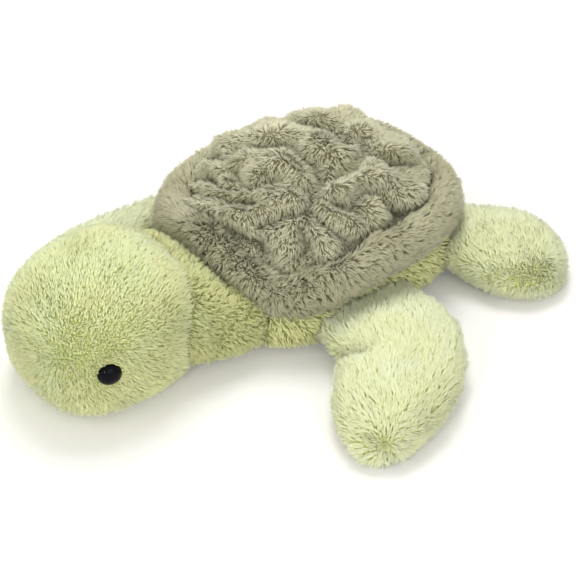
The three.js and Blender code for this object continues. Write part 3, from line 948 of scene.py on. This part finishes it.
# Eyes
def seat_of(name):
    """The outermost point of the CAD's eye, and the way in which it looks."""
    seat = places_of(nodes[name].data)
    middle = Vector(seat.mean(0))
    spread, axes = np.linalg.eigh(np.cov(seat.T))
    odd = 0 if spread[1] - spread[0] > spread[2] - spread[1] else 2
    looks = Vector(axes[:, odd])
    if looks.dot(middle - (head_low + head_high) / 2) < 0:
        looks = -looks
    return middle + looks * ((seat - seat.mean(0)) @ np.array(looks)).max(), looks


def model_eye():
    """A ball cut off below its middle, with a flat foot and a shank."""
    bpy.ops.mesh.primitive_uv_sphere_add(segments=48, ring_count=32, radius=EYE_RADIUS * MM)
    eye = bpy.context.object
    bpy.ops.object.mode_set(mode="EDIT")
    bpy.ops.mesh.select_all(action="SELECT")
    bpy.ops.mesh.bisect(plane_co=(0, 0, -EYE_FOOT * MM), plane_no=(0, 0, 1), clear_inner=True)
    bpy.ops.mesh.extrude_region_move()
    bpy.ops.transform.resize(value=(SHANK_SHARE, SHANK_SHARE, 1))
    bpy.ops.mesh.extrude_region_move(TRANSFORM_OT_translate={"value": (0, 0, -SHANK_LENGTH * MM)})
    bpy.ops.mesh.edge_face_add()
    bpy.ops.mesh.select_all(action="SELECT")
    bpy.ops.mesh.normals_make_consistent(inside=False)
    bpy.ops.object.mode_set(mode="OBJECT")
    return eye


def make_eye(name, material):
    """A glossy dome in the seat of the CAD's eye; gives its middle and the way in which it looks."""
    apex, looks = seat_of(name)
    middle = apex - looks * EYE_RISE * MM
    eye = model_eye()
    flatter = Matrix.Diagonal((1, 1, EYE_RISE / EYE_RADIUS, 1))
    turned = looks.to_track_quat("Z", "Y").to_matrix().to_4x4()
    eye.data.transform(Matrix.Translation(middle) @ turned @ flatter)
    eye.name = name.replace("eye", "eye_dome")
    only(eye)
    bpy.ops.object.shade_smooth_by_angle(angle=math.radians(40))
    coat(eye, material)
    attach(eye, "head")
    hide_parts(name)
    return middle, looks


def beside_eyes(places):
    """True under and just beside an eye, where no pile is rooted."""
    hidden = np.zeros(len(places), bool)
    for middle, _ in eyes:
        hidden |= np.linalg.norm(places - np.array(middle), axis=1) < EYE_BARE * MM
    return hidden


def over_eyes(roots, ways, lengths):
    """The pile is shorter round each eye, and hangs over its edge."""
    for middle, looks in eyes:
        away = roots - np.array(middle)
        away -= (away @ np.array(looks))[:, None] * np.array(looks)
        distance = np.linalg.norm(roots - np.array(middle), axis=1)
        near = 1 - between(8 * MM, 13 * MM, distance)
        ways = unit(ways + 0.1 * near[:, None] * unit(away))
        lengths = lengths * (1 - 0.2 * near)
    return ways, lengths


# The way the pile lies on each piece
def steady(*way):
    return lambda places: np.tile(np.array(way, float), (len(places), 1))


def head_flow(places):
    """Back over the head, from a point in front of the snout and below the floor."""
    away = places - np.array(((head_low.x + head_high.x) / 2, head_low.y - 30 * MM, -10 * MM))
    return unit(away)


def shell_flow(places):
    """Out and down from the top of the shell, wandering from patch to patch."""
    away = places - np.array(SHELL_MIDDLE)
    away[:, 2] = -45 * MM
    turned = [wander(places, 30 * MM, 11), wander(places, 30 * MM, 12), np.zeros(len(places))]
    return unit(away) + np.array([0.1, -0.25, 0]) + 0.5 * np.column_stack(turned)


def rim_flow(places):
    """Outward and down at the front, and back along the sides."""
    away = places - np.array(SHELL_MIDDLE)
    away[:, 2] = 0
    way = 0.6 * unit(away)
    way[:, 1] += 1.1 * np.abs(way[:, 0])
    way[:, 2] = -0.35
    return way


def rim_lean(places):
    """The pile of the rim stands up more at the front, over the neck."""
    return 44 - 18 * between(40 * MM, 62 * MM, SHELL_MIDDLE.y - places[:, 1])


def from_tip(tip, root):
    """The pile of a flipper lies from its tip towards its root, and fans out of the pinched end."""
    back = np.array(root) - tip
    back[2] = 0
    back /= np.linalg.norm(back)

    def flow(places):
        fan = unit(places - tip)
        near = 1 - between(6 * MM, 24 * MM, np.linalg.norm(places - tip, axis=1))
        return fan * near[:, None] + back * (1 - near)[:, None]

    return flow


def pinched_at(tip, outward):
    """The pile stands upright where the thread is pulled tight."""
    def comb(roots, ways, lengths):
        near = 1 - between(1 * MM, 5 * MM, np.linalg.norm(roots - tip, axis=1))
        return unit(ways + near[:, None] * outward), lengths

    return comb


# How the pile of each part stands: tuft length, gap between roots, tuft width and size of its locks
# in millimetres, lean and swirl in degrees, how far the tips of a lock draw together, and the seed;
# the rim's lean changes round it
Fur = namedtuple("Fur", "length gap width lean swirl lock pull seed")
FURS = {
    "head": Fur(length=4.6, gap=0.97, width=0.43, lean=22, swirl=32, lock=2.1, pull=0.42, seed=7),
    "neck": Fur(length=5.2, gap=1.0, width=0.42, lean=20, swirl=60, lock=2.6, pull=0.6, seed=21),
    "body": Fur(length=6, gap=1.5, width=0.6, lean=40, swirl=25, lock=3.8, pull=0.25, seed=22),
    "shell": Fur(length=5.6, gap=1.05, width=0.45, lean=44, swirl=28, lock=3, pull=0.36, seed=23),
    "rim": Fur(length=6.4, gap=0.88, width=0.45, lean=rim_lean, swirl=28, lock=3.4, pull=0.42, seed=24),
}
for number, part in enumerate(FLIPPERS):
    lean = 20 if part.startswith("rear") else 32
    FURS[part] = Fur(
        length=6, gap=0.86, width=0.44, lean=lean, swirl=25, lock=2.8, pull=0.34, seed=30 + number
    )


# Stage and light
def make_floor():
    """A pale floor that shows as white far from the toy and lights it as what it is."""
    bpy.ops.mesh.primitive_plane_add(size=6)
    floor = bpy.context.object
    floor.name = "floor"
    finish = Finish("pale_floor", Roughness=0.9, Specular_IOR_Level=0.1, Base_Color=colour(*FLOOR_COLOUR))
    lit = finish.node("ShaderNodeEmission", {}, {"Color": (1, 1, 1, 1), "Strength": 1.0})
    away = finish.node("ShaderNodeVectorMath", {"operation": "LENGTH"}, {0: finish.place()}, out="Value")
    share = finish.seen() * (0.08 + 0.92 * finish.ramp(away, low=0.35, high=0.9))
    plain = Varying(finish, finish.shader.outputs[0])
    mixed = finish.node("ShaderNodeMixShader", {}, {0: share, 1: plain, 2: lit})
    finish.feed(finish.tree.nodes["Material Output"].inputs["Surface"], mixed)
    coat(floor, finish.material)


def make_world():
    """White where the camera sees it, and a little darker where it lights the toy."""
    world = bpy.data.worlds.new("studio")
    bpy.context.scene.world = world
    world.use_nodes = True
    shading = Shading(world.node_tree)
    behind = world.node_tree.nodes["Background"]
    sockets = {"Value": shading.seen(), "To Min": WORLD_LIGHT, "To Max": 1.0}
    shading.feed(behind.inputs["Strength"], shading.node("ShaderNodeMapRange", {}, sockets))
    shading.feed(behind.inputs["Color"], (1, 1, 1, 1))


def make_lamp(name, place, size, power):
    data = bpy.data.lights.new(name, "AREA")
    data.shape = "DISK"
    data.size = size
    data.energy = power
    lamp = bpy.data.objects.new(name, data)
    bpy.context.scene.collection.objects.link(lamp)
    lamp.location = MIDDLE + Vector(place)
    lamp.rotation_mode = "QUATERNION"
    lamp.rotation_quaternion = (-Vector(place)).to_track_quat("-Z", "Y")


# The toy
def follow(piece, body, span):
    """Rides a piece on its body, or, given a span, leaves it in its place without a parent."""
    if span:
        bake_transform(piece)
    else:
        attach(piece, body)


def outfit(part, cover, fur, body, plush, span=None):
    """A cover with its pile, on its body, in its plush."""
    for piece, material in zip((cover, fur), plushes[plush]):
        coat(piece, material)
    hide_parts(part + "_cover")
    for piece in (cover, fur):
        follow(piece, body, span)


def make_head():
    cover, beside = make_cover("head")
    fur = make_pile("head", cover, beside, tuft, head_flow, bare=beside_eyes, comb=over_eyes)
    outfit("head", cover, fur, "head", "plush_green")


def make_neck(span):
    cover, beside = make_cover("neck", voxel=3)
    groove(cover, beside, depth=1, reach=6)
    keep_over(cover, "neck")
    fur = make_pile("neck", cover, beside, tuft, steady(0, 1, -0.3))
    outfit("neck", cover, fur, "neck", "plush_shade_green", span)


def make_body():
    cover, beside = make_cover("body", voxel=3)
    groove(cover, beside, depth=1, reach=6)
    keep_over(cover, "body")
    fur = make_pile("body", cover, beside, tuft, steady(0, 0.5, -0.8))
    outfit("body", cover, fur, "torso", "plush_shade_green")


def make_shell():
    cover, beside = make_cover("shell", voxel=2, even=26, most=0)
    quilt(cover, camera, crease_beside(cover, beside, reach=8))
    keep_over(cover, "shell")
    fur = make_pile("shell", cover, beside, tuft, shell_flow)
    outfit("shell", cover, fur, "torso", "plush_shell_brown")


def make_rim():
    cover, beside = make_cover("rim", voxel=3, even=6)
    groove(cover, beside, depth=2, reach=7)
    keep_over(cover, "rim")
    fur = make_pile("rim", cover, beside, tuft, rim_flow)
    outfit("rim", cover, fur, "torso", "plush_rim_brown")


def hinge_span(joint_name, cover):
    """Two points across a flipper's hinge: inside its sewn line and outside it."""
    joint = next(joint for joint in frame["joints"] if joint["name"] == joint_name)
    middle = Vector(joint["pos_m"])
    axis = Vector(joint["axis"]).normalized()
    out = axis.cross(Vector((0, 0, 1)))
    centre = Vector(places_of(cover.data).mean(0))
    if out.dot(centre - middle) < 0:
        out = -out
    inside, outside = FLIPPER_REACH
    return middle - out * inside * MM, middle + out * outside * MM


def far_end(piece, root):
    """The place of a flipper that is farthest from its root."""
    places = places_of(piece.data)
    return places[np.linalg.norm(places[:, :2] - np.array(root)[:2], axis=1).argmax()]


def make_flipper(part):
    cover, beside = make_cover(part, voxel=3)
    span = hinge_span(part + "_lift", cover)
    tip = far_end(cover, span[0])
    if part in SEAMS:
        seen = seen_at(camera, tree_of(cover), TIPS[part])
        tip = tip if seen is None else np.array(seen)
        for lines, depth, half_width in SEAMS[part]:
            sew(cover, camera, lines, depth, half_width)
        keep_over(cover, part)
    outward = unit(np.array([tip - places_of(cover.data).mean(0)]))[0]
    fur = make_pile(part, cover, beside, tuft, from_tip(tip, span[0]), comb=pinched_at(tip, outward))
    outfit(part, cover, fur, part, "plush_pale_green", span)


def make_filling(node, material, span=None):
    """The filling under a cover, in the CAD's form."""
    piece = joined_copy(node + "_fibre", [node])
    finish_with(piece, "REMESH", mode="VOXEL", voxel_size=4 * MM, use_smooth_shade=True)
    coat(piece, material)
    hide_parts(node)
    follow(piece, nodes[node]["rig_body"], span)


camera = make_camera()
make_world()
for name, lamp in LAMPS.items():
    make_lamp(name, *lamp)
make_floor()
bpy.ops.object.select_all(action="DESELECT")
tuft = model_tuft()

shell_backing = plush_backing("shell_backing", (150, 144, 112))
plushes = {
    "plush_green": (
        plush_backing("green_backing", (222, 230, 150)),
        plush_pile("green_pile", root=(204, 212, 124), tip=(236, 243, 192), warm=(242, 237, 174)),
    ),
    # A darker copy of the green plush: painted shade on the neck and body, which lie under the head and shell
    "plush_shade_green": (
        plush_backing("painted_shade_backing", (190, 195, 132)),
        plush_pile("painted_shade_pile", root=(144, 146, 74), tip=(226, 231, 170), warm=(230, 226, 159), underside_light=0),
    ),
    "plush_pale_green": (
        plush_backing("pale_backing", (234, 240, 160)),
        plush_pile("pale_pile", root=(210, 216, 126), tip=(240, 244, 205), warm=(236, 239, 184)),
    ),
    "plush_shell_brown": (
        shell_backing,
        plush_pile(
            "shell_pile", root=(114, 112, 85), tip=(222, 219, 186), warm=(204, 201, 162), underside_light=0, deep=0.42
        ),
    ),
    "plush_rim_brown": (
        shell_backing,
        plush_pile("rim_pile", root=(98, 95, 70), tip=(198, 195, 162), warm=(185, 181, 144), underside_light=0),
    ),
}

eye_black = eye_plastic("eye_black_plastic")
eyes = [make_eye(name, eye_black) for name in ("eye_left", "eye_right")]
washer_white = washer_plastic("washer_white_plastic")
for name in ("eye_washer_left", "eye_washer_right"):
    coat(nodes[name], washer_white)

neck_span = [Vector((MIDDLE.x, MIDDLE.y - reach * MM, NECK_HEIGHT * MM)) for reach in NECK_REACH]
make_head()
make_neck(neck_span)
make_body()
make_shell()
make_rim()
for part in FLIPPERS:
    make_flipper(part)
fibre = fibre_filling("fibre_filling")
for node in sorted(nodes):
    if node.endswith(("_stuffing", "_wadding")):
        make_filling(node, fibre, neck_span if node.startswith("neck") else None)

bpy.data.objects.remove(tuft)
bpy.context.scene.view_settings.view_transform = "Standard"
